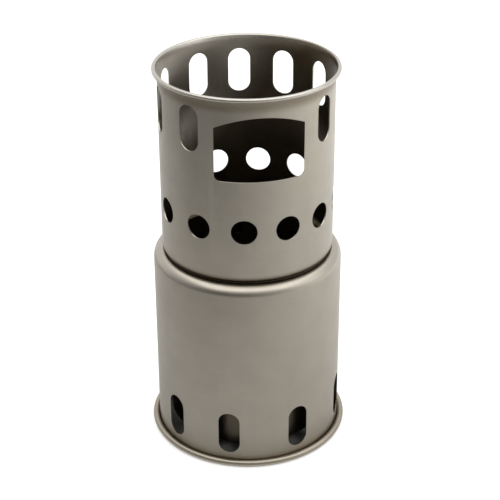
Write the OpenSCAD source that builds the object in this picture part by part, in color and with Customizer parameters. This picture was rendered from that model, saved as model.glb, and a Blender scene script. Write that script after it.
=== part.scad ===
// Backpacking wood stove in three nesting pieces of thin titanium sheet:
// a base shell that stands on a rolled foot, a firebox that hangs by its
// flared mouth from the base's ledge, and a chimney whose drawn-in foot beds
// in that mouth and whose rim carries the pot. Millimetres, +Z up. The origin
// is the middle of the foot on the ground, and the front faces -Y.

/* [Sheet] */
// Thickness of the sheet that all three pieces are drawn from
sheet_t = 0.5; // [0.3:0.1:0.8]
// Clearance on the radius between pieces that slide past each other
slide_gap = 0.3; // [0.2:0.05:0.5]

/* [Base shell] */
// Height of the ledge at the top of the base above the ground
base_h = 95.4; // [70:0.1:140]
// How far the base's wall stands out beyond the chimney's
base_step = 4.25; // [3.5:0.05:10]
// Outside radius of the shoulder between the wall and the ledge
shoulder_r = 4.7; // [2:0.1:5.2]
// Width of the foot's flat run, from the bend at the wall to the curl
foot_flat_w = 1.1; // [0.75:0.05:6]
// Inside radius of the curl that edges the foot
foot_curl_r = 1.05; // [0.4:0.05:1.5]
// Inside radius of the bend from the wall out into the foot
foot_bend_r = 0.6; // [0.2:0.1:1]

/* [Air slots in the base] */
// Width of each slot
air_slot_w = 10.2; // [4:0.1:16]
// Height of each slot
air_slot_h = 21.8; // [17:0.1:40]
// Height of the slots' lower ends above the ground
air_slot_rise = 6.2; // [4:0.1:20]

/* [Chimney] */
// Outside diameter of the chimney's wall, which the other two pieces fit
chimney_d = 80; // [72:0.5:100]
// Height of the chimney from its foot to the top of its rim
chimney_h = 89.5; // [70:0.5:130]
// Outside radius on which the foot is drawn in
drawn_foot_r = 3.5; // [2.5:0.1:5]
// How far the drawn-in foot runs on past the place where it beds, in degrees
drawn_foot_tuck = 10; // [4:1:14]
// Radius on which the wall flares out below the rolled rim
pot_flare_r = 16.5; // [10:0.5:30]
// How far the wall leans out where the rolled rim begins, in degrees
pot_flare_turn = 18.2; // [8:0.2:24]
// Inside radius of the rolled rim that the pot stands on
pot_rim_curl_r = 0.5; // [0.3:0.1:1.2]
// How far the top of the rolled rim is planed flat
pot_rim_flat = 0.1; // [0.05:0.05:0.2]

/* [Draught slots under the pot] */
// Width of each slot
draught_slot_w = 10.35; // [4:0.05:12]
// Height of each slot
draught_slot_h = 21.3; // [13:0.1:30]
// Distance from the top of the rim down to the slots' upper ends
draught_slot_drop = 6.7; // [4:0.1:10]

/* [Feed window] */
// Width of the window, straight across
window_w = 39.7; // [20:0.1:46]
// Distance from the top of the pot rim down to the window's highest point
window_drop = 9.5; // [6:0.1:16]
// Rise of the arched top edge above its corners
window_rise = 5.1; // [1:0.1:8]
// Radius of the two lower corners
window_corner_r = 2.5; // [0.5:0.1:6]
// Height of the sill above the chimney's foot, as a share of the chimney's height
window_sill_share = 0.56; // [0.45:0.001:0.65]
// Direction that the window faces, turned right from the front
window_angle = 8.8; // [0:0.2:12]

/* [Round vents in the chimney] */
// Diameter of each vent
vent_d = 11.8; // [4:0.1:16]
// Height of the vents' centres above the chimney's foot, as a share of its height
vent_share = 0.29; // [0.2:0.001:0.34]

/* [Firebox] */
// Height of the firebox's floor above the ground
floor_z = 7; // [3:0.1:30]
// How far the firebox's wall stands in from the chimney's
firebox_inset = 2; // [1.7:0.1:2.3]
// Inside radius of the bend from the wall out into the mouth's flange
mouth_bend_r = 0.3; // [0.1:0.05:0.3]
// Width of the mouth's flange, past that bend
mouth_flange_w = 0.45; // [0.2:0.05:0.8]
// How deep the chimney's foot is bedded into the mouth
mouth_bed = 0.1; // [0.05:0.05:0.15]
// Inside radius of the drawn corner between wall and floor
floor_bend_r = 1; // [0.5:0.1:3]
// Diameter of the secondary air holes in the wall
wall_hole_d = 5; // [2:0.1:7]
// Number of secondary air holes
wall_hole_count = 24; // [8:1:30]
// Distance of those holes' centres below the base's ledge
wall_hole_drop = 11.4; // [6:0.1:25]
// Diameter of the primary air holes in the floor
floor_hole_d = 5.5; // [2:0.1:8]
// Distance from the firebox's wall to the centres of the outermost floor holes
floor_hole_margin = 6.8; // [5:0.1:12]
// Number of rings of floor holes round the middle one
floor_hole_rings = 3; // [1:1:3]

/* [Hidden] */
$fn = 96;

// How far each cutter runs past the wall that it cuts
cut_over = 2;

// Number of flats that a full turn has where the sheet bends too tightly to see
tight_fn = 12;

// Heights worked out from a root or a sine are cut to this step, so that runs meet exactly
height_step = 0.001;

// Where each opening lies round the axis, in degrees to the right of the front
air_slot_angles = [-51, -12, 32, 77, 123, 170, 216, 263];
draught_slot_angles = [58, 90, 121.5, 154, 185, 215, 251, 284, 321];
vent_angles = [-65, -33, -2, 27, 55, 84, 113, 142, 172, 202, 233, 264];

// The three walls
chimney_r = chimney_d / 2;
chimney_in_r = chimney_r - sheet_t;
base_r = chimney_r + base_step;
base_in_r = base_r - sheet_t;
firebox_r = chimney_r - firebox_inset;
firebox_in_r = firebox_r - sheet_t;

// The foot bends outwards from the base's wall and ends in a curl
foot_bend_centre_r = base_r + foot_bend_r;
foot_curl_outer_r = foot_curl_r + sheet_t;
foot_curl_centre_r = foot_bend_centre_r + foot_flat_w;
foot_r = foot_curl_centre_r + foot_curl_outer_r;

// The firebox passes through the ledge's opening, and its flange lies on the ledge
opening_r = firebox_r + max(slide_gap, mouth_bend_r);
mouth_outer_r = mouth_bend_r + sheet_t;
mouth_centre_r = firebox_r + mouth_bend_r;
mouth_centre_z = base_h - mouth_bend_r;
flange_r = opening_r + mouth_flange_w;
floor_bend_outer_r = floor_bend_r + sheet_t;
floor_hole_pitch = (firebox_r - floor_hole_margin) / floor_hole_rings;

// The chimney's foot is an arc that beds on the bend of the firebox's mouth
drawn_centre_r = chimney_r - drawn_foot_r;
bedded_reach = drawn_foot_r + mouth_outer_r - mouth_bed;
bedded_offset = mouth_centre_r - drawn_centre_r;
bedded_rise = sqrt(pow(bedded_reach, 2) - pow(bedded_offset, 2));
drawn_centre_z = mouth_centre_z + height_step * floor(bedded_rise / height_step);
drawn_foot_turn = acos(bedded_offset / bedded_reach) + drawn_foot_tuck;
drawn_foot_rise = drawn_foot_r * sin(drawn_foot_turn);
chimney_foot_z = drawn_centre_z - height_step * floor(drawn_foot_rise / height_step);
stove_h = chimney_foot_z + chimney_h;

// The pot rim's curl carries on from the flare, round a centre on the flare's own radius
pot_rim_outer_r = pot_rim_curl_r + sheet_t;
pot_rim_z = stove_h - pot_rim_outer_r + pot_rim_flat;
pot_flare_centre_r = chimney_r + pot_flare_r;
pot_flare_reach = pot_flare_r - pot_rim_curl_r;
pot_rim_centre_r = pot_flare_centre_r - pot_flare_reach * cos(pot_flare_turn);
pot_flare_rise = pot_flare_reach * sin(pot_flare_turn);
pot_flare_z = pot_rim_z - height_step * floor(pot_flare_rise / height_step);

// Places of the window and the vents above the chimney's foot
vent_height = vent_share * chimney_h;
window_sill = window_sill_share * chimney_h;
window_h = chimney_h - window_drop - window_sill;

// The window's top edge is an arc through its two corners and its apex
window_arch_r = (pow(window_w / 2, 2) + pow(window_rise, 2)) / (2 * window_rise);

// A quarter of a ring of sheet in the profile plane, from angle a to a + 90, less
// what skip takes off its start or lean off its end, in degrees. The number of
// flats round the inside and the outside can be set apart.
module bend(centre, inner_r, a, in_fn = tight_fn, out_fn = tight_fn, skip = 0, lean = 0) {
    translate(centre)
        rotate(a)
            intersection() {
                difference() {
                    circle(inner_r + sheet_t, $fn = out_fn);
                    circle(inner_r, $fn = in_fn);
                }
                square(inner_r + sheet_t);
                if (skip > 0)
                    rotate(skip)
                        square(inner_r + sheet_t);
                if (lean > 0)
                    rotate(-lean)
                        square(inner_r + sheet_t);
            }
}

// The sheet's edge rolled outwards and under, from upright or from a lean outwards
module curl(centre, inner_r, lean = 0) {
    bend(centre, inner_r, 90, out_fn = $fn, lean = lean);
    for (a = [-90, 0])
        bend(centre, inner_r, a, out_fn = $fn);
}

// An upright run of sheet in the profile plane
module upright(in_r, low_z, high_z) {
    translate([in_r, low_z])
        square([sheet_t, high_z - low_z]);
}

// A level run of sheet in the profile plane
module level(in_r, out_r, low_z) {
    translate([in_r, low_z])
        square([out_r - in_r, sheet_t]);
}

// A slot with round ends, centred on the origin
module obround(w, h) {
    square([w, h - w], center = true);
    for (end = [-1, 1])
        translate([0, end * (h - w) / 2])
            circle(d = w);
}

// Carries a flat shape of width w through a wall of radius r, facing angle a.
// It starts just inside the wall's inner face where the shape's edges meet it.
module cut_out(a, r, w) {
    start = sqrt(pow(r - sheet_t, 2) - pow(w / 2, 2)) - cut_over;
    rotate([90, 0, a])
        translate([0, 0, start])
            linear_extrude(r + cut_over - start)
                children();
}

module window_shape() {
    intersection() {
        union() {
            translate([-window_w / 2, window_corner_r])
                square([window_w, window_h]);
            translate([-window_w / 2 + window_corner_r, 0])
                square([window_w - 2 * window_corner_r, window_h]);
            for (side = [-1, 1])
                translate([side * (window_w / 2 - window_corner_r), window_corner_r])
                    circle(window_corner_r);
        }
        translate([0, window_h - window_arch_r])
            circle(window_arch_r);
    }
}

module base_profile() {
    // Rolled foot
    curl([foot_curl_centre_r, foot_curl_outer_r], foot_curl_r);
    level(foot_bend_centre_r, foot_curl_centre_r, 0);
    bend([foot_bend_centre_r, sheet_t + foot_bend_r], foot_bend_r, 180);
    // Wall, shoulder and ledge
    upright(base_in_r, sheet_t + foot_bend_r, base_h - shoulder_r);
    bend([base_r - shoulder_r, base_h - shoulder_r], shoulder_r - sheet_t, 0, $fn, $fn);
    level(opening_r, base_r - shoulder_r, base_h - sheet_t);
}

module base_shell() {
    color("#8f897c")
        difference() {
            rotate_extrude()
                base_profile();
            for (a = air_slot_angles)
                cut_out(a, base_r, air_slot_w)
                    translate([0, air_slot_rise + air_slot_h / 2])
                        obround(air_slot_w, air_slot_h);
        }
}

module firebox_profile() {
    // Flared mouth, with the bed for the chimney's foot pressed into it
    difference() {
        union() {
            bend([mouth_centre_r, mouth_centre_z], mouth_bend_r, 90, out_fn = $fn);
            level(mouth_centre_r, flange_r, base_h);
        }
        translate([drawn_centre_r, drawn_centre_z])
            circle(drawn_foot_r);
    }
    // Wall and floor
    upright(firebox_in_r, floor_z + floor_bend_outer_r, mouth_centre_z);
    bend([firebox_r - floor_bend_outer_r, floor_z + floor_bend_outer_r], floor_bend_r, 270);
    level(0, firebox_r - floor_bend_outer_r, floor_z);
}

// Rings of holes, six more in each ring than in the last
module floor_holes() {
    translate([0, 0, floor_z - cut_over])
        for (ring = [0 : floor_hole_rings], i = [0 : max(6 * ring, 1) - 1])
            rotate(360 * i / max(6 * ring, 1))
                translate([0, -ring * floor_hole_pitch, 0])
                    cylinder(d = floor_hole_d, h = sheet_t + 2 * cut_over);
}

module firebox() {
    color("#6f6a60")
        difference() {
            rotate_extrude()
                firebox_profile();
            floor_holes();
            for (i = [0 : wall_hole_count - 1])
                cut_out(360 * (i + 0.5) / wall_hole_count, firebox_r, wall_hole_d)
                    translate([0, base_h - wall_hole_drop])
                        circle(d = wall_hole_d);
        }
}

module chimney_profile() {
    // Foot, drawn in to bed in the firebox's mouth
    drawn_centre = [drawn_centre_r, drawn_centre_z];
    bend(drawn_centre, drawn_foot_r - sheet_t, 270, $fn, $fn, skip = 90 - drawn_foot_turn);
    upright(chimney_in_r, drawn_centre_z, pot_flare_z);
    // Flared top and rolled rim
    bend([pot_flare_centre_r, pot_flare_z], pot_flare_r, 90, $fn, $fn, skip = 90 - pot_flare_turn);
    intersection() {
        curl([pot_rim_centre_r, pot_rim_z], pot_rim_curl_r, pot_flare_turn);
        square([foot_r, stove_h]);
    }
}

module chimney() {
    color("#a19b8e")
        difference() {
            rotate_extrude()
                chimney_profile();
            for (a = vent_angles)
                cut_out(a, chimney_r, vent_d)
                    translate([0, chimney_foot_z + vent_height])
                        circle(d = vent_d);
            for (a = draught_slot_angles)
                cut_out(a, chimney_r, draught_slot_w)
                    translate([0, stove_h - draught_slot_drop - draught_slot_h / 2])
                        obround(draught_slot_w, draught_slot_h);
            cut_out(window_angle, chimney_r, window_w)
                translate([0, chimney_foot_z + window_sill])
                    window_shape();
        }
}

base_shell();
firebox();
chimney();
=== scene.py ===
import bpy
import bmesh
from math import acos, asin, ceil, cos, degrees, hypot, pi, radians, sin
from mathutils import Matrix, Vector


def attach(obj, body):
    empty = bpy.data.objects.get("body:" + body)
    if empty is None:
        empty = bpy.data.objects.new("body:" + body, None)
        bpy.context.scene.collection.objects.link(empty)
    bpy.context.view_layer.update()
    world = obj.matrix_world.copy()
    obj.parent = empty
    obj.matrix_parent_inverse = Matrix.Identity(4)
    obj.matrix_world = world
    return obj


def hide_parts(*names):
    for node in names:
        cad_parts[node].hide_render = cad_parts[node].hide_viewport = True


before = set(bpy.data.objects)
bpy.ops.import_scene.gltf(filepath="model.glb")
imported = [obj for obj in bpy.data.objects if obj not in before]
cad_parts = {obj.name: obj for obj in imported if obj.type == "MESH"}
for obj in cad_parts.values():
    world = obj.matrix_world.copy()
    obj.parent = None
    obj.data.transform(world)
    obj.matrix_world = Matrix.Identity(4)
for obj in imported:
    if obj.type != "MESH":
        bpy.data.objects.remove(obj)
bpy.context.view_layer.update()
scene = bpy.context.scene
mm = 0.001


# objects and node trees

def newObject(name, data):
    made = bpy.data.objects.new(name, data)
    scene.collection.objects.link(made)
    return made


def newMesh(name, points, edges=(), faces=()):
    mesh = bpy.data.meshes.new(name)
    mesh.from_pydata(points, edges, faces)
    return mesh


def aim(place, target):
    # local -Z points from place to target, with local Y kept upright
    return (Vector(target) - Vector(place)).to_track_quat("-Z", "Y").to_matrix().to_4x4()


def addNode(tree, kind, place, setup=None, **inputs):
    # setup holds the node's own properties, and inputs the values of its sockets
    node = tree.nodes.new(kind)
    node.location = place
    for name, value in (setup or {}).items():
        setattr(node, name, value)
    for name, value in inputs.items():
        node.inputs[name.replace("_", " ")].default_value = value
    return node


def link(tree, source, target):
    tree.links.new(source, target)


def setOrLink(tree, value, socket):
    # a number is set on the socket, and another node's output is linked to it
    if isinstance(value, (int, float)):
        socket.default_value = value
    else:
        link(tree, value, socket)


def addSockets(tree, inputs, outputs):
    for label, kind, value in inputs:
        socket = tree.interface.new_socket(name=label, in_out="INPUT", socket_type=kind)
        if value is not None:
            socket.default_value = value
    for label, kind in outputs:
        tree.interface.new_socket(name=label, in_out="OUTPUT", socket_type=kind)
    return tree, tree.nodes.new("NodeGroupInput"), tree.nodes.new("NodeGroupOutput")


def planVector(tree, place, vector):
    # the vector without its height
    level = addNode(tree, "ShaderNodeVectorMath", place, {"operation": "MULTIPLY"})
    level.inputs[1].default_value = (1, 1, 0)
    link(tree, vector, level.inputs[0])
    return level.outputs[0]


# the camera stands where the stove's outline in the frame puts it
photoCamera = {
    "place": (0, -0.58081, 0.40165),
    "pitchDown": 27.694,
    "roll": -0.315,
    "focalPixels": 1389.33,
    "opticalCentre": (247.4, 240.590),   # pixels from the frame's upper left corner
    "framePixels": 500,
    "sensorWidth": 36,
    "clip": (0.02, 40),
}


def makeCamera(s):
    data = bpy.data.cameras.new("photoCamera")
    data.sensor_width = s["sensorWidth"]
    data.lens = s["focalPixels"] / s["framePixels"] * s["sensorWidth"]
    data.shift_x = 0.5 - s["opticalCentre"][0] / s["framePixels"]
    data.shift_y = s["opticalCentre"][1] / s["framePixels"] - 0.5
    data.clip_start, data.clip_end = s["clip"]
    camera = newObject("photoCamera", data)
    turn = Matrix.Rotation(radians(90 - s["pitchDown"]), 4, "X") @ Matrix.Rotation(radians(s["roll"]), 4, "Z")
    camera.matrix_world = Matrix.Translation(s["place"]) @ turn
    scene.camera = camera


makeCamera(photoCamera)
print("camera placed")


# the titanium sheet that all three cans are drawn from: lengths in mm, angles in degrees
sheet = {
    "thickness": 0.5,
    "edgeSteps": 4,            # facets of a rounded free edge
    "edgeStart": 0.9,          # half thicknesses from the edge back to where its rounding starts
    "edgeWidth": 0.94,         # of the thickness, across the rounding
    "degreesPerStep": 11.25,   # of a bend's own turn
    "leastSteps": 3,           # in a short bend
    "roundTheAxis": 288,       # steps of a full turn round the stove
    "guideRadius": 0.01,       # m, of the circle that carries an outline round
}
halfSheet = sheet["thickness"] / 2


def bend(centre, radius, start, end):
    # mid-line points (r, z) and their tangents, round a centre from one angle to another
    steps = max(sheet["leastSteps"], ceil(abs(end - start) / sheet["degreesPerStep"]))
    side = 1 if end > start else -1
    turns = [radians(start + (end - start) * i / steps) for i in range(steps + 1)]
    return [(centre[0] + radius * cos(a), centre[1] + radius * sin(a), (-sin(a) * side, cos(a) * side))
            for a in turns]


def runEnd(r, z):
    # the free end of a straight run, which takes its tangent from its neighbour
    return [(r, z, None)]


def walkMidLine(path):
    walked = []
    for i, (r, z, tangent) in enumerate(path):
        if tangent is None:
            j = i + 1 if i + 1 < len(path) else i - 1
            length = hypot(path[j][0] - r, path[j][1] - z)
            sign = 1 if j > i else -1
            tangent = ((path[j][0] - r) / length * sign, (path[j][1] - z) / length * sign)
        walked.append((r, z, tangent))
    return walked


def edgeCap(r, z, tangent, sign):
    # a rounded free edge, from the left side to the right at the path's end
    made = []
    for k in range(1, sheet["edgeSteps"]):
        a = pi / 2 - pi * k / sheet["edgeSteps"]
        along = (cos(a) - 1) * halfSheet * sign
        across = sin(a) * halfSheet * sheet["edgeWidth"]
        made.append((r + tangent[0] * along - tangent[1] * across,
                     z + tangent[1] * along + tangent[0] * across))
    return made


def sheetOutline(path, roundEnds=(True, True)):
    # the closed outline of the sheet on both sides of its mid-line, run so that its faces point outwards
    walked = walkMidLine(path)
    sides = [[(r - t[1] * offset, z + t[0] * offset) for r, z, t in walked]
             for offset in (halfSheet, -halfSheet)]
    caps = [[], []]
    for end, index, sign in ((0, 0, -1), (1, -1, 1)):
        if roundEnds[end]:
            r, z, tangent = walked[index]
            back = halfSheet * sheet["edgeStart"] * sign
            for side in sides:
                side[index] = (side[index][0] - tangent[0] * back, side[index][1] - tangent[1] * back)
            caps[end] = edgeCap(r, z, tangent, sign)
    outline = sides[0] + caps[1] + sides[1][::-1] + caps[0][::-1]
    area = sum(a[0] * b[1] - b[0] * a[1] for a, b in zip(outline, outline[1:] + outline[:1]))
    return outline if area < 0 else outline[::-1]


def profileObject(name, outline):
    count = len(outline)
    points = [(r * mm, 0, z * mm) for r, z in outline]
    return newObject(name, newMesh(name, points, [(i, (i + 1) % count) for i in range(count)]))


# geometry trees: one turns an outline into a can, the other punches a row of openings

def newTree(name, inputs):
    tree = bpy.data.node_groups.new(name, "GeometryNodeTree")
    geometry = ("Geometry", "NodeSocketGeometry")
    return addSockets(tree, [(*geometry, None), *inputs], [geometry])


def sheetTurningTree():
    # turns a closed outline of sheet, drawn in the XZ plane, once round the Z axis
    tree, given, result = newTree("sheetTurning", [
        ("Steps", "NodeSocketInt", sheet["roundTheAxis"]),
        ("Guide Radius", "NodeSocketFloat", sheet["guideRadius"]),
        ("Finish", "NodeSocketMaterial", None),
    ])
    toCurve = addNode(tree, "GeometryNodeMeshToCurve", (-600, 0))
    guide = addNode(tree, "GeometryNodeCurvePrimitiveCircle", (-400, 260))
    inward = addNode(tree, "ShaderNodeMath", (-780, -220), {"operation": "MULTIPLY"})
    inward.inputs[1].default_value = -1
    shift = addNode(tree, "ShaderNodeCombineXYZ", (-600, -220))
    layFlat = addNode(tree, "GeometryNodeTransform", (-400, 0), Rotation=(pi / 2, 0, 0))
    turn = addNode(tree, "GeometryNodeCurveToMesh", (-200, 0))
    smooth = addNode(tree, "GeometryNodeSetShadeSmooth", (0, 0))
    realize = addNode(tree, "GeometryNodeRealizeInstances", (180, 0))
    finish = addNode(tree, "GeometryNodeSetMaterial", (360, 0))
    link(tree, given.outputs["Geometry"], toCurve.inputs["Mesh"])
    link(tree, given.outputs["Steps"], guide.inputs["Resolution"])
    link(tree, given.outputs["Guide Radius"], guide.inputs["Radius"])
    link(tree, given.outputs["Guide Radius"], inward.inputs[0])
    link(tree, inward.outputs[0], shift.inputs["X"])
    link(tree, toCurve.outputs["Curve"], layFlat.inputs["Geometry"])
    link(tree, shift.outputs[0], layFlat.inputs["Translation"])
    link(tree, guide.outputs["Curve"], turn.inputs["Curve"])
    link(tree, layFlat.outputs["Geometry"], turn.inputs["Profile Curve"])
    link(tree, turn.outputs["Mesh"], smooth.inputs["Geometry"])
    link(tree, smooth.outputs["Geometry"], realize.inputs["Geometry"])
    link(tree, realize.outputs["Geometry"], finish.inputs["Geometry"])
    link(tree, given.outputs["Finish"], finish.inputs["Material"])
    link(tree, finish.outputs["Geometry"], result.inputs["Geometry"])
    return tree


def punchRowTree():
    # stamps one punch at every point of Places, turned to face outwards there
    tree, given, result = newTree("punchRow", [
        ("Punch", "NodeSocketObject", None),
        ("Places", "NodeSocketObject", None),
        ("Finish", "NodeSocketMaterial", None),
        ("Sheared Edge", "NodeSocketMaterial", None),
    ])
    punch = addNode(tree, "GeometryNodeObjectInfo", (-900, -120))
    places = addNode(tree, "GeometryNodeObjectInfo", (-900, 120))
    mark = addNode(tree, "GeometryNodeStoreNamedAttribute", (-700, -120),
                   {"data_type": "BOOLEAN", "domain": "FACE"}, Name="sheared", Value=True)
    where = addNode(tree, "GeometryNodeInputPosition", (-1100, -360))
    facing = addNode(tree, "FunctionNodeAlignRotationToVector", (-700, -360),
                     {"axis": "X", "pivot_axis": "Z"})
    stamp = addNode(tree, "GeometryNodeInstanceOnPoints", (-480, 0))
    stampMesh = addNode(tree, "GeometryNodeRealizeInstances", (-300, 0))
    cut = addNode(tree, "GeometryNodeMeshBoolean", (-100, 60), {"operation": "DIFFERENCE", "solver": "EXACT"})
    realize = addNode(tree, "GeometryNodeRealizeInstances", (100, 60))
    finish = addNode(tree, "GeometryNodeSetMaterial", (280, 60))
    sheared = addNode(tree, "GeometryNodeInputNamedAttribute", (280, -160),
                      {"data_type": "BOOLEAN"}, Name="sheared")
    edgeFinish = addNode(tree, "GeometryNodeSetMaterial", (480, 60))
    link(tree, given.outputs["Punch"], punch.inputs["Object"])
    link(tree, given.outputs["Places"], places.inputs["Object"])
    link(tree, punch.outputs["Geometry"], mark.inputs["Geometry"])
    link(tree, planVector(tree, (-900, -360), where.outputs[0]), facing.inputs["Vector"])
    link(tree, places.outputs["Geometry"], stamp.inputs["Points"])
    link(tree, mark.outputs["Geometry"], stamp.inputs["Instance"])
    link(tree, facing.outputs["Rotation"], stamp.inputs["Rotation"])
    link(tree, stamp.outputs["Instances"], stampMesh.inputs["Geometry"])
    link(tree, given.outputs["Geometry"], cut.inputs["Mesh 1"])
    link(tree, stampMesh.outputs["Geometry"], cut.inputs["Mesh 2"])
    link(tree, cut.outputs["Mesh"], realize.inputs["Geometry"])
    link(tree, realize.outputs["Geometry"], finish.inputs["Geometry"])
    link(tree, given.outputs["Finish"], finish.inputs["Material"])
    link(tree, finish.outputs["Geometry"], edgeFinish.inputs["Geometry"])
    link(tree, sheared.outputs["Attribute"], edgeFinish.inputs["Selection"])
    link(tree, given.outputs["Sheared Edge"], edgeFinish.inputs["Material"])
    link(tree, edgeFinish.outputs["Geometry"], result.inputs["Geometry"])
    return tree


turning = sheetTurningTree()
punching = punchRowTree()


def addTreeModifier(piece, tree, **values):
    # an input is set by its socket's identifier, before the piece is first evaluated
    modifier = piece.modifiers.new(tree.name, "NODES")
    modifier.node_group = tree
    for item in tree.interface.items_tree:
        if item.in_out == "INPUT" and item.name.replace(" ", "_") in values:
            modifier[item.identifier] = values[item.name.replace(" ", "_")]


def turnedCan(name, outline, finish):
    piece = profileObject(name, outline)
    addTreeModifier(piece, turning, Steps=sheet["roundTheAxis"], Guide_Radius=sheet["guideRadius"],
                    Finish=finish)
    return piece


def punchOut(piece, finish, punch, places):
    addTreeModifier(piece, punching, Punch=punch, Places=places, Finish=finish,
                    Sheared_Edge=finishes["shearedEdge"])


# how a finished mesh is cleaned: distances in m, and the angle from which an edge is sharp
settling = {"weld": 2e-6, "shortestEdge": 1e-6, "sharpAngle": 28}


def settleMesh(piece, s):
    # the modifiers' result becomes a plain mesh with no modifier left
    bpy.context.view_layer.update()
    made = bpy.data.meshes.new_from_object(piece.evaluated_get(bpy.context.evaluated_depsgraph_get()))
    piece.modifiers.clear()
    piece.data = made
    made.name = piece.name
    work = bmesh.new()
    work.from_mesh(made)
    bmesh.ops.remove_doubles(work, verts=work.verts, dist=s["weld"])
    bmesh.ops.dissolve_degenerate(work, edges=work.edges, dist=s["shortestEdge"])
    loose = [v for v in work.verts if not v.link_faces]
    bmesh.ops.delete(work, geom=loose, context="VERTS")
    openEdges = sum(1 for e in work.edges if len(e.link_faces) != 2)
    triangles = sum(len(f.verts) - 2 for f in work.faces)
    volume = work.calc_volume(signed=True) / mm ** 3
    for face in work.faces:
        face.smooth = True
    work.to_mesh(made)
    work.free()
    made.set_sharp_from_angle(angle=radians(s["sharpAngle"]))
    print(f"{piece.name}: {triangles} triangles, {volume:.1f} mm3, open edges {openEdges}")


# punches: flat shapes of (across, up) points in mm, with the steps of their round stretches
punchSteps = {"slotEnd": 24, "airHole": 32, "vent": 64, "windowCorner": 8, "windowArch": 24}


def prismObject(name, shape, reach):
    # the shape carried along X, between the two ends of its reach
    work = bmesh.new()
    rings = [[work.verts.new((x * mm, across * mm, up * mm)) for across, up in shape] for x in reach]
    count = len(shape)
    for i in range(count):
        j = (i + 1) % count
        work.faces.new((rings[0][i], rings[0][j], rings[1][j], rings[1][i]))
    work.faces.new(rings[0][::-1])
    work.faces.new(rings[1])
    bmesh.ops.recalc_face_normals(work, faces=work.faces)
    mesh = bpy.data.meshes.new(name)
    work.to_mesh(mesh)
    work.free()
    return newObject(name, mesh)


def arcPoints(across, up, radius, start, end, steps):
    turn = [radians(start + (end - start) * i / steps) for i in range(steps + 1)]
    return [(across + radius * cos(a), up + radius * sin(a)) for a in turn]


def obroundShape(width, height):
    r, straight = width / 2, (height - width) / 2
    steps = punchSteps["slotEnd"]
    return arcPoints(0, straight, r, 0, 180, steps) + arcPoints(0, -straight, r, 180, 360, steps)


def roundShape(width, steps):
    return arcPoints(0, 0, width / 2, 0, 360 * (steps - 1) / steps, steps - 1)


def windowShape(width, height, rise, cornerRadius):
    # centred on the sill's middle: round lower corners, and an arc over the top
    archRadius = ((width / 2) ** 2 + rise ** 2) / (2 * rise)
    reach = degrees(asin(width / 2 / archRadius))
    side = width / 2 - cornerRadius
    corner, arch = punchSteps["windowCorner"], punchSteps["windowArch"]
    return (arcPoints(-side, cornerRadius, cornerRadius, 180, 270, corner)
            + arcPoints(side, cornerRadius, cornerRadius, 270, 360, corner)
            + arcPoints(0, height - archRadius, archRadius, 90 - reach, 90 + reach, arch))


def ringSpots(radius, height, angles):
    # an angle runs from the front, and to the camera's right where it is positive
    return [(radius * mm * sin(radians(a)), -radius * mm * cos(radians(a)), height * mm) for a in angles]


def placesObject(name, spots):
    return newObject(name, newMesh(name, spots))


# shader groups: each reads a vector in metres and puts out plain values

def newGroup(name, inputs, outputs):
    group = bpy.data.node_groups.new(name, "ShaderNodeTree")
    given = [("Vector", "NodeSocketVector", None)]
    given += [(label, "NodeSocketFloat", value) for label, value in inputs]
    return addSockets(group, given, [(label, "NodeSocketFloat") for label in outputs])


def mathNode(tree, place, operation, *values):
    node = addNode(tree, "ShaderNodeMath", place, {"operation": operation})
    for value, socket in zip(values, node.inputs):
        setOrLink(tree, value, socket)
    return node.outputs[0]


def noiseNode(tree, place, vector, scale, detail, rough):
    node = addNode(tree, "ShaderNodeTexNoise", place, Detail=detail, Roughness=rough)
    link(tree, vector, node.inputs["Vector"])
    setOrLink(tree, scale, node.inputs["Scale"])
    return node.outputs["Fac"]


def rangeNode(tree, place, value, fromRange, toRange, kind="LINEAR"):
    node = addNode(tree, "ShaderNodeMapRange", place, {"interpolation_type": kind})
    link(tree, value, node.inputs["Value"])
    for name, limit in zip(("From Min", "From Max", "To Min", "To Max"), (*fromRange, *toRange)):
        setOrLink(tree, limit, node.inputs[name])
    return node.outputs["Result"]


def planDistance(tree, place, vector):
    # the distance from the stove's axis
    length = addNode(tree, "ShaderNodeVectorMath", place, {"operation": "LENGTH"})
    link(tree, planVector(tree, place, vector), length.inputs[0])
    return length.outputs["Value"]


def axisParts(tree, place, vector):
    split = addNode(tree, "ShaderNodeSeparateXYZ", place)
    link(tree, vector, split.inputs[0])
    return split.outputs["X"], split.outputs["Y"], split.outputs["Z"]


def blastGrainGroup():
    # the fine peened skin that bead blasting leaves: a height for the bump, and tones from -1 to 1
    group, given, result = newGroup("blastGrain", [("Grain Size", 0.00028), ("Cloud Size", 0.009)],
                                    ["Height", "Tone", "Cloud"])
    pitDepth = 0.6             # of the grain's own height
    vector = given.outputs["Vector"]
    grainScale = mathNode(group, (-700, 200), "DIVIDE", 1.0, given.outputs["Grain Size"])
    cloudScale = mathNode(group, (-700, -100), "DIVIDE", 1.0, given.outputs["Cloud Size"])
    grain = noiseNode(group, (-450, 260), vector, grainScale, 2.0, 0.55)
    cloud = noiseNode(group, (-450, -260), vector, cloudScale, 3.0, 0.55)
    pits = addNode(group, "ShaderNodeTexVoronoi", (-450, 0), {"feature": "SMOOTH_F1"})
    link(group, vector, pits.inputs["Vector"])
    link(group, grainScale, pits.inputs["Scale"])
    height = mathNode(group, (-200, 120), "MULTIPLY_ADD", pits.outputs["Distance"], pitDepth, grain)
    link(group, height, result.inputs["Height"])
    link(group, rangeNode(group, (-200, -60), grain, (0.25, 0.75), (-1, 1)), result.inputs["Tone"])
    link(group, rangeNode(group, (-200, -300), cloud, (0.3, 0.7), (-1, 1)), result.inputs["Cloud"])
    return group


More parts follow.
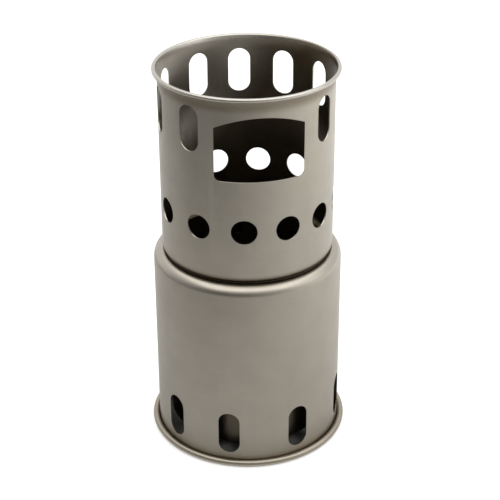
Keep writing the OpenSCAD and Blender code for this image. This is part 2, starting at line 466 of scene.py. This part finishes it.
def drawingMarksGroup():
    # faint level lines left by spinning and drawing the can: a value from -1 to 1 over height
    group, given, result = newGroup("drawingMarks", [("Line Pitch", 0.0009)], ["Marks"])
    levelShare = 0.03          # the pattern is drawn out level, so that it makes lines
    squash = addNode(group, "ShaderNodeCombineXYZ", (-500, 0))
    parts = axisParts(group, (-700, 0), given.outputs["Vector"])
    for part, share, socket in zip(parts, (levelShare, levelShare, 1.0), squash.inputs):
        link(group, mathNode(group, (-600, 0), "MULTIPLY", part, share), socket)
    lineScale = mathNode(group, (-500, -200), "DIVIDE", 1.0, given.outputs["Line Pitch"])
    lines = noiseNode(group, (-300, 0), squash.outputs[0], lineScale, 2.0, 0.6)
    link(group, rangeNode(group, (-100, 0), lines, (0.3, 0.7), (-1, 1)), result.inputs["Marks"])
    return group


def heightBandGroup():
    # 1 inside a band of heights with soft limits: Mask is broken up a little, Even isn't
    group, given, result = newGroup("heightBand", [
        ("Low", 0.0), ("High", 0.01), ("Low Softness", 0.001), ("High Softness", 0.001),
    ], ["Mask", "Even"])
    patchesPerMetre = 260
    low, high = given.outputs["Low"], given.outputs["High"]
    height = axisParts(group, (-700, 0), given.outputs["Vector"])[2]
    lowEdge = mathNode(group, (-600, -200), "SUBTRACT", low, given.outputs["Low Softness"])
    highEdge = mathNode(group, (-600, -350), "ADD", high, given.outputs["High Softness"])
    above = rangeNode(group, (-400, 0), height, (lowEdge, low), (0, 1), "SMOOTHSTEP")
    below = rangeNode(group, (-400, -250), height, (high, highEdge), (1, 0), "SMOOTHSTEP")
    band = mathNode(group, (-200, 0), "MULTIPLY", above, below)
    patches = noiseNode(group, (-400, 250), given.outputs["Vector"], patchesPerMetre, 3.0, 0.6)
    broken = rangeNode(group, (-200, 250), patches, (0.35, 0.65), (0.75, 1))
    link(group, mathNode(group, (0, 0), "MULTIPLY", band, broken), result.inputs["Mask"])
    link(group, band, result.inputs["Even"])
    return group


def insideGroup():
    # Mask is 1 where shade is painted on a can's inner side and fades upwards, and Outside is 1 on its outer
    # side.
    # The mid-wall radius between the two grows above the flare's start.
    group, given, result = newGroup("inside", [
        ("Wall Radius", 0.04), ("Flare Start", 0.18), ("Flare Radius", 0.017),
        ("Fade Low", 0.15), ("Fade High", 0.2), ("Fade Slope", 0.0),
    ], ["Mask", "Outside"])
    distance = planDistance(group, (-600, 100), given.outputs["Vector"])
    parts = axisParts(group, (-900, 0), given.outputs["Vector"])
    across, height = parts[0], parts[2]
    pastStart = mathNode(group, (-750, -150), "SUBTRACT", height, given.outputs["Flare Start"])
    rise = mathNode(group, (-600, -150), "MAXIMUM", pastStart, 0)
    flareWidth = mathNode(group, (-600, -300), "MULTIPLY", given.outputs["Flare Radius"], 2)
    riseSquared = mathNode(group, (-450, -150), "MULTIPLY", rise, rise)
    spread = mathNode(group, (-300, -150), "DIVIDE", riseSquared, flareWidth)
    wall = mathNode(group, (-150, -100), "ADD", spread, given.outputs["Wall Radius"])
    within = mathNode(group, (0, 50), "LESS_THAN", distance, wall)
    lean = mathNode(group, (-450, -400), "MULTIPLY", across, given.outputs["Fade Slope"])
    leant = mathNode(group, (-300, -400), "SUBTRACT", height, lean)
    fade = (given.outputs["Fade Low"], given.outputs["Fade High"])
    below = rangeNode(group, (0, -150), leant, fade, (1, 0))
    link(group, mathNode(group, (150, 0), "MULTIPLY", within, below), result.inputs["Mask"])
    link(group, mathNode(group, (150, 200), "SUBTRACT", 1, within), result.inputs["Outside"])
    return group


groups = {
    "grain": blastGrainGroup(),
    "marks": drawingMarksGroup(),
    "band": heightBandGroup(),
    "inside": insideGroup(),
}


# materials

def newMaterial(name):
    material = bpy.data.materials.new(name)
    material.use_nodes = True
    tree = material.node_tree
    tree.nodes.clear()
    output = addNode(tree, "ShaderNodeOutputMaterial", (900, 0))
    coords = addNode(tree, "ShaderNodeTexCoord", (-900, 0)).outputs["Object"]
    return material, tree, output.inputs["Surface"], coords


def mixColour(tree, place, factor, first, second, blend="MIX"):
    # a Mix node's colours come in at sockets 6 and 7, and the result goes out at 2
    node = addNode(tree, "ShaderNodeMix", place, {"data_type": "RGBA", "blend_type": blend})
    link(tree, factor, node.inputs["Factor"])
    for socket, colour in ((node.inputs[6], first), (node.inputs[7], second)):
        if isinstance(colour, tuple):
            socket.default_value = (*colour, 1)
        else:
            link(tree, colour, socket)
    return node.outputs[2]


def placeGroup(tree, place, group, coords, **values):
    # lengths among the values are in mm, as in the settings
    node = addNode(tree, "ShaderNodeGroup", place, {"node_tree": groups[group]})
    for key, value in values.items():
        node.inputs[key.replace("_", " ")].default_value = value * mm
    link(tree, coords, node.inputs["Vector"])
    return node


def placeBand(tree, place, coords, limits):
    low, high, lowSoftness, highSoftness = limits
    return placeGroup(tree, place, "band", coords, Low=low, High=high,
                      Low_Softness=lowSoftness, High_Softness=highSoftness)


def blastedTitanium(name, s):
    material, tree, surface, coords = newMaterial(name)
    shader = addNode(tree, "ShaderNodeBsdfPrincipled", (600, 0), Metallic=1.0)
    link(tree, shader.outputs["BSDF"], surface)
    grain = placeGroup(tree, (-650, 200), "grain", coords,
                       Grain_Size=s["grainSize"], Cloud_Size=s["cloudSize"])
    marks = placeGroup(tree, (-650, -50), "marks", coords, Line_Pitch=s["linePitch"])

    # the grain's tone, with the clouds' and the drawing marks' added
    tone = mathNode(tree, (-400, 250), "MULTIPLY", grain.outputs["Tone"], s["grainTone"])
    for source, share in ((grain.outputs["Cloud"], s["cloudTone"]), (marks.outputs["Marks"], s["markTone"])):
        tone = mathNode(tree, (-200, 150), "ADD", tone, mathNode(tree, (-400, 50), "MULTIPLY", source, share))
    shade = rangeNode(tree, (100, 150), tone, (-1, 1), (0, 1))
    colour = mixColour(tree, (280, 150), shade, s["darkColour"], s["lightColour"])
    spread = s["roughnessSpread"]
    rough = rangeNode(tree, (100, -150), tone, (-1, 1), (s["roughness"] + spread, s["roughness"] - spread))

    # a brighter, smoother band: rubbed wear on the base's foot, a painted highlight on the chimney's rim
    if s["wearAndHighlight"]:
        wearAndHighlight = s["wearAndHighlight"]
        mask = placeBand(tree, (-650, -250), coords, wearAndHighlight["limits"]).outputs["Mask"]
        share = mathNode(tree, (280, -50), "MULTIPLY", mask, wearAndHighlight["share"])
        colour = mixColour(tree, (440, 100), share, colour, wearAndHighlight["colour"])
        shine = mathNode(tree, (100, -320), "MULTIPLY", mask, wearAndHighlight["shine"])
        rough = mathNode(tree, (300, -200), "SUBTRACT", rough, shine)

    # painted shade: a darker inner side, and bands of it on the outer side
    if s["inside"]:
        inner = s["inside"]
        inside = placeGroup(tree, (-650, -450), "inside", coords, Wall_Radius=inner["wallRadius"],
                            Flare_Start=inner["flareStart"], Flare_Radius=inner["flareRadius"],
                            Fade_Low=inner["fade"][0], Fade_High=inner["fade"][1])
        inside.inputs["Fade Slope"].default_value = inner["slope"]
        for limits, tint in s["paintedShadeBands"]:
            bandShade = placeBand(tree, (-650, -650), coords, limits).outputs["Even"]
            outerBandShade = mathNode(tree, (300, 350), "MULTIPLY", bandShade, inside.outputs["Outside"])
            colour = mixColour(tree, (480, 350), outerBandShade, colour, tint, "MULTIPLY")
        colour = mixColour(tree, (520, 250), inside.outputs["Mask"], colour, inner["tint"], "MULTIPLY")

    bump = addNode(tree, "ShaderNodeBump", (400, -400), Strength=s["bumpStrength"],
                   Distance=s["bumpDepth"] * mm)
    link(tree, grain.outputs["Height"], bump.inputs["Height"])
    link(tree, colour, shader.inputs["Base Color"])
    link(tree, rough, shader.inputs["Roughness"])
    link(tree, bump.outputs["Normal"], shader.inputs["Normal"])
    return material


# what the finishes share, with lengths in mm
blasted = {
    "grainSize": 0.3, "cloudSize": 11, "linePitch": 0.9,
    "grainTone": 0.10, "cloudTone": 0.10, "markTone": 0.04,      # how far each shifts the tone
    "darkColour": (0.30, 0.2765, 0.234), "lightColour": (0.54, 0.499, 0.427),
    "roughness": 0.33, "roughnessSpread": 0.25,
    "bumpStrength": 0.35, "bumpDepth": 0.03,
    # a band's limits are its low and high, and the softness of each
    "wearAndHighlight": None,            # a brighter band of heights: rubbed wear on the base's foot, a painted highlight on the chimney's rim
    "inside": None,            # painted shade on the inner side
    "paintedShadeBands": (),           # bands of painted shade on the outer side, each with its limits and tint
}
# painted shade for a can's inner side, the ledge under the chimney's foot and the cut edges
innerShadeTint = (0.345, 0.305, 0.25)
overTop = 300                  # mm, over the top of the stove, so that nothing flares or fades

finishSettings = {
    "baseTitanium": {
        # rubbed wear on the lowest edge of the foot
        "wearAndHighlight": {"limits": (-1, 0.3, 0.8, 0.8), "colour": (0.52, 0.49, 0.435),
                   "share": 0.5, "shine": 0.08},
        # painted shade in the seam: only the ledge lies within this radius
        "inside": {"wallRadius": 39.9, "flareStart": overTop, "flareRadius": 16.75,
                   "fade": (overTop, overTop + 1), "slope": 0, "tint": innerShadeTint},
        # painted shade low on the wall, darker towards the foot
        "paintedShadeBands": (((-1, 2, 1, 16), (0.8, 0.78, 0.75)),),
    },
    "fireboxTitanium": {
        # painted shade: a darkened copy of the titanium, as dark as the firebox looks through the slots and
        # in the seam
        "darkColour": (0.078, 0.0669, 0.0503), "lightColour": (0.1404, 0.1208, 0.0918),
        "roughness": 0.36,
    },
    "chimneyTitanium": {
        # a painted highlight on the rim's curl, with a smoother finish
        "wearAndHighlight": {"limits": (183.3, 186, 0.5, 0.5), "colour": (0.59, 0.565, 0.52),
                   "share": 0.7, "shine": 0.08},
        # the middle of the chimney's own sheet, and a shade that climbs to the camera's right
        "inside": {"wallRadius": 39.75, "flareStart": 179.12, "flareRadius": 16.75,
                   "fade": (148, 182), "slope": 1.2, "tint": innerShadeTint},
        "paintedShadeBands": (((180.8, 182.4, 4.5, 1.0), (0.60, 0.565, 0.51)),       # painted shadow under the rim's curl
                      ((94, 96.6, 1, 3.5), (0.55, 0.53, 0.49))),             # painted shade in the seam at the foot
    },
    "shearedEdge": {
        "grainSize": 0.15,
        "darkColour": (0.34, 0.318, 0.275), "lightColour": (0.58, 0.548, 0.485),
        "roughness": 0.30,
        # the same slanted shade reaches the cut edges that lie low on the camera's right
        "inside": {"wallRadius": 0, "flareStart": 0, "flareRadius": 1,
                   "fade": (0, 1), "slope": 1.2, "tint": innerShadeTint},
    },
}
finishes = {name: blastedTitanium(name, {**blasted, **changes}) for name, changes in finishSettings.items()}
print("materials made")


# the three cans: lengths in mm, wall radii on the outside, the radii of bends on the sheet's mid-line

baseSettings = {
    "wallRadius": 44.25,
    "footRadius": 47.5, "footCurl": 1.30, "footBend": 0.85,
    "shoulderBend": 4.45,
    "ledgeRadius": 38.3, "ledgeHeight": 95.15,       # of its inner edge, and of the sheet's middle
    "slotSize": (10.2, 21.8), "slotRise": 6.2,
    "slotAngles": (-51, -12, 32, 77, 123, 170, 216, 263),
    "punchReach": (-3, 2),                           # from the wall's outside, inwards and outwards
}


def makeBase(s):
    wall = s["wallRadius"] - halfSheet
    curl, foot, shoulder = s["footCurl"], s["footBend"], s["shoulderBend"]
    path = (bend((s["footRadius"] - halfSheet - curl, halfSheet + curl), curl, 180, -90)
            + bend((wall + foot, halfSheet + foot), foot, 270, 180)
            + bend((wall - shoulder, s["ledgeHeight"] - shoulder), shoulder, 0, 90)
            + runEnd(s["ledgeRadius"], s["ledgeHeight"]))
    piece = turnedCan("baseShell", sheetOutline(path), finishes["baseTitanium"])
    width, height = s["slotSize"]
    punch = prismObject("airSlotPunch", obroundShape(width, height), s["punchReach"])
    spots = ringSpots(s["wallRadius"], s["slotRise"] + height / 2, s["slotAngles"])
    places = placesObject("airSlotPlaces", spots)
    punchOut(piece, finishes["baseTitanium"], punch, places)
    return piece, [punch, places]


fireboxSettings = {
    "wallRadius": 38.0,
    "floorTop": 7.5, "floorBend": 1.25,
    "floorStart": 0.4,                               # the turned floor starts inside its middle hole
    "mouthBend": 0.55, "flangeRadius": 38.75,
    "wallHole": 5, "wallHoleCount": 24, "wallHoleHeight": 84,
    "floorHole": 5.5, "floorRings": (10.4, 20.8, 31.2), "holesPerRing": 6,     # 6, 12 and 18 holes
    "punchReach": (-2, 2),
}


def bedded(point, centre, radius):
    # a point inside the chimney's foot is pressed out to the foot's surface
    across, up = point[0] - centre[0], point[1] - centre[1]
    push = max(1, radius / hypot(across, up))
    return (centre[0] + across * push, centre[1] + up * push)


def makeFirebox(s):
    wall = s["wallRadius"] - halfSheet
    floor, mouth = s["floorBend"], s["mouthBend"]
    floorLevel = s["floorTop"] - halfSheet
    flangeHeight = baseSettings["ledgeHeight"] + sheet["thickness"]
    path = (runEnd(s["floorStart"], floorLevel)
            + bend((wall - floor, floorLevel + floor), floor, -90, 0)
            + bend((wall + mouth, flangeHeight - mouth), mouth, 180, 90)
            + runEnd(s["flangeRadius"], flangeHeight))
    foot = chimneySettings["footBend"]
    footCentre = (chimneySettings["wallRadius"] - halfSheet - foot, chimneySettings["footHeight"])
    outline = [bedded(point, footCentre, foot + halfSheet)
               for point in sheetOutline(path, roundEnds=(False, True))]
    finish = finishes["fireboxTitanium"]
    piece = turnedCan("fireboxCan", outline, finish)

    wallHole = roundShape(s["wallHole"], punchSteps["airHole"])
    wallPunch = prismObject("airHolePunch", wallHole, s["punchReach"])
    angles = [360 * (i + 0.5) / s["wallHoleCount"] for i in range(s["wallHoleCount"])]
    wallPlaces = placesObject("airHolePlaces", ringSpots(s["wallRadius"], s["wallHoleHeight"], angles))
    punchOut(piece, finish, wallPunch, wallPlaces)

    floorHole = roundShape(s["floorHole"], punchSteps["airHole"])
    floorPunch = prismObject("floorHolePunch", floorHole, s["punchReach"])
    floorPunch.data.transform(Matrix.Rotation(pi / 2, 4, "Y"))
    spots = ringSpots(0, floorLevel, [0])
    for ring, radius in enumerate(s["floorRings"]):
        count = s["holesPerRing"] * (ring + 1)
        spots += ringSpots(radius, floorLevel, [360 * i / count for i in range(count)])
    floorPlaces = placesObject("floorHolePlaces", spots)
    punchOut(piece, finish, floorPunch, floorPlaces)
    return piece, [wallPunch, wallPlaces, floorPunch, floorPlaces]


chimneySettings = {
    "wallRadius": 40.0,
    "footBend": 3.25, "footTurn": 74.62, "footHeight": 98.895,      # the height is the bend's centre's
    "flareBend": 16.75, "rimBend": 0.75, "rimRadius": 42.3,
    "top": 185.019, "rimFlat": 0.1,                  # how much of the curl's crown is pressed flat
    "slotSize": (10.35, 21.3), "slotTop": 178.32,
    "slotAngles": (58, 90, 121.5, 154, 185, 215, 251, 284, 321),
    "ventWidth": 11.8, "ventHeight": 121.475,
    "ventAngles": (-65, -33, -2, 27, 55, 84, 113, 142, 172, 202, 233, 264),
    "windowSize": (39.7, 29.88), "windowRise": 5.1, "windowCorner": 2.5,
    "windowSill": 145.64, "windowAngle": 8.8,
    "punchReach": (-3, 2), "windowReach": (-8, 2),
}


def chimneyPath(s):
    # the foot, the wall up to a wide flare, and the rim's curl, which the flare runs into
    wall = s["wallRadius"] - halfSheet
    foot, flare, rim = s["footBend"], s["flareBend"], s["rimBend"]
    rimCentre = (s["rimRadius"] - halfSheet - rim, s["top"] + s["rimFlat"] - halfSheet - rim)
    flareTurn = acos((wall + flare - rimCentre[0]) / (flare - rim))
    flareCentre = (wall + flare, rimCentre[1] - (flare - rim) * sin(flareTurn))
    meeting = 180 - degrees(flareTurn)
    return (bend((wall - foot, s["footHeight"]), foot, -s["footTurn"], 0)
            + bend(flareCentre, flare, 180, meeting)
            + bend(rimCentre, rim, meeting, -90))


def makeChimney(s):
    outline = [(r, min(z, s["top"])) for r, z in sheetOutline(chimneyPath(s))]
    piece = turnedCan("chimneyTube", outline, finishes["chimneyTitanium"])
    slot = obroundShape(*s["slotSize"])
    slotHeight = s["slotTop"] - s["slotSize"][1] / 2
    vent = roundShape(s["ventWidth"], punchSteps["vent"])
    window = windowShape(*s["windowSize"], s["windowRise"], s["windowCorner"])
    rows = (
        ("draughtSlot", slot, s["punchReach"], slotHeight, s["slotAngles"]),
        ("vent", vent, s["punchReach"], s["ventHeight"], s["ventAngles"]),
        ("window", window, s["windowReach"], s["windowSill"], [s["windowAngle"]]))
    tools = []
    for name, shape, reach, level, angles in rows:
        punch = prismObject(name + "Punch", shape, reach)
        places = placesObject(name + "Places", ringSpots(s["wallRadius"], level, angles))
        punchOut(piece, finishes["chimneyTitanium"], punch, places)
        tools += [punch, places]
    return piece, tools


for make, settings, node, body, slot in (
        (makeBase, baseSettings, "base_shell", "base", "base_titanium"),
        (makeFirebox, fireboxSettings, "firebox", "firebox", "firebox_titanium"),
        (makeChimney, chimneySettings, "chimney", "chimney", "chimney_titanium")):
    piece, tools = make(settings)
    settleMesh(piece, settling)
    for tool in tools:
        bpy.data.objects.remove(tool)
    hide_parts(node)
    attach(piece, body)
print("cans made")


# floor, background and lamps: lengths in m

stage = {
    "floorSize": 6.0,
    "floorColour": (0.80, 0.795, 0.785),
    "floorShadeColour": (0.22, 0.22, 0.21),      # painted shade on the floor under the stove
    "floorLift": 0.30,                      # white added where a ray looks at the backdrop, the shadow stays
    "underStove": (0.044, 0.047),           # the painted shade ends and the lift starts at the foot, so the space inside stays dark
    "skyWhite": 1.0,
}


def rayLooks(tree, place):
    # 1 where the camera, the metal's reflection or a view through glass looks at a backdrop
    rays = addNode(tree, "ShaderNodeLightPath", place)
    either = mathNode(tree, place, "MAXIMUM", rays.outputs["Is Camera Ray"], rays.outputs["Is Glossy Ray"])
    return mathNode(tree, place, "MAXIMUM", either, rays.outputs["Is Transmission Ray"])


def makeFloor(s):
    half = s["floorSize"] / 2
    corners = [(-half, -half, 0), (half, -half, 0), (half, half, 0), (-half, half, 0)]
    mesh = newMesh("studioFloor", corners, faces=[(0, 1, 2, 3)])
    floor = newObject("studioFloor", mesh)
    material, tree, surface, coords = newMaterial("paleFloor")
    # under the stove the floor takes the painted shade colour and gets no lift
    clear = rangeNode(tree, (-200, 350), planDistance(tree, (-500, 400), coords), s["underStove"], (0, 1))
    lit = addNode(tree, "ShaderNodeBsdfDiffuse", (250, 100))
    link(tree, mixColour(tree, (50, 250), clear, s["floorShadeColour"], s["floorColour"]), lit.inputs["Color"])
    glow = addNode(tree, "ShaderNodeEmission", (250, -100), Color=(1, 1, 1, 1))
    lift = mathNode(tree, (0, -100), "MULTIPLY", clear, s["floorLift"])
    strength = mathNode(tree, (100, -200), "MULTIPLY", rayLooks(tree, (-400, -200)), lift)
    link(tree, strength, glow.inputs["Strength"])
    both = addNode(tree, "ShaderNodeAddShader", (600, 0))
    link(tree, lit.outputs[0], both.inputs[0])
    link(tree, glow.outputs[0], both.inputs[1])
    link(tree, both.outputs[0], surface)
    material.cycles.emission_sampling = "NONE"
    mesh.materials.append(material)


# dark cards out of the frame, at the front and the left, which only the metal sees
cards = {
    "colour": (0.12, 0.117, 0.11),
    "floorSlant": (0.76, 0.55), "floorFade": (-0.56, 0.56),    # the way from the dark end to the clear one
    "floorRadii": (0.049, 1.25), "floorHeight": 0.0005,
    "wallSlant": (0.35, 0.80), "wallFade": (-1.1, 0.2), "wallRise": (0.5, 1.3),
    "wallRadius": 1.25, "wallTop": 1.4,
    "steps": 48,
}


def cardMaterial(name, s, slant, fade, rise=None):
    material, tree, surface, coords = newMaterial(name)
    across, deep, up = axisParts(tree, (-700, 200), coords)
    along = mathNode(tree, (-550, 300), "MULTIPLY", across, slant[0])
    along = mathNode(tree, (-500, 200), "MULTIPLY_ADD", deep, slant[1], along)
    share = rangeNode(tree, (-300, 200), along, fade, (1, 0))
    if rise:
        share = mathNode(tree, (-100, 100), "MULTIPLY", share, rangeNode(tree, (-300, 0), up, rise, (1, 0)))
    dark = addNode(tree, "ShaderNodeBsdfDiffuse", (250, 100), Color=(*s["colour"], 1))
    clear = addNode(tree, "ShaderNodeBsdfTransparent", (250, -100))
    mix = addNode(tree, "ShaderNodeMixShader", (600, 0))
    link(tree, share, mix.inputs["Fac"])
    link(tree, clear.outputs[0], mix.inputs[1])
    link(tree, dark.outputs[0], mix.inputs[2])
    link(tree, mix.outputs[0], surface)
    return material


def makeCard(name, s, lower, upper, material):
    # a ring of card between two (radius, height) circles round the stove
    count = s["steps"]
    turns = [2 * pi * i / count for i in range(count)]
    spots = [(r * cos(a), r * sin(a), z) for r, z in (lower, upper) for a in turns]
    faces = [(i, (i + 1) % count, count + (i + 1) % count, count + i) for i in range(count)]
    mesh = newMesh(name, spots, faces=faces)
    mesh.materials.append(material)
    card = newObject(name, mesh)
    card.visible_camera = False
    return card


def makeCards(s):
    inner, outer = s["floorRadii"]
    low = makeCard("floorCard", s, (inner, s["floorHeight"]), (outer, s["floorHeight"]),
                   cardMaterial("floorCard", s, s["floorSlant"], s["floorFade"]))
    low.visible_shadow = False
    low.visible_diffuse = False
    makeCard("wallCard", s, (s["wallRadius"], 0), (s["wallRadius"], s["wallTop"]),
             cardMaterial("wallCard", s, s["wallSlant"], s["wallFade"], s["wallRise"]))


def makeSky(s):
    # the same plain white for the camera, for the metal's reflections and for soft light
    world = bpy.data.worlds.new("studioSky")
    scene.world = world
    world.use_nodes = True
    tree = world.node_tree
    tree.nodes.clear()
    white = addNode(tree, "ShaderNodeBackground", (0, 0), Color=(1, 1, 1, 1), Strength=s["skyWhite"])
    output = addNode(tree, "ShaderNodeOutputWorld", (200, 0))
    link(tree, white.outputs[0], output.inputs["Surface"])


lamps = {
    "topSoftbox": {"place": (0, 0, 1.40), "target": (0, 0, 0.10), "size": (2.2, 2.2), "watts": 15.0},
    "sideSoftbox": {"place": (0.96, -0.20, 0.79), "target": (0, 0, 0.10), "size": (1.0, 1.0), "watts": 1.6},
}


def makeLamp(name, s):
    data = bpy.data.lights.new(name, "AREA")
    data.shape = "RECTANGLE"
    data.size, data.size_y = s["size"]
    data.energy = s["watts"]
    lamp = newObject(name, data)
    lamp.matrix_world = Matrix.Translation(s["place"]) @ aim(s["place"], s["target"])
    lamp.visible_camera = False


makeFloor(stage)
makeCards(cards)
makeSky(stage)
for name, settings in lamps.items():
    makeLamp(name, settings)
scene.view_settings.view_transform = "Standard"
print("stage and lamps made")
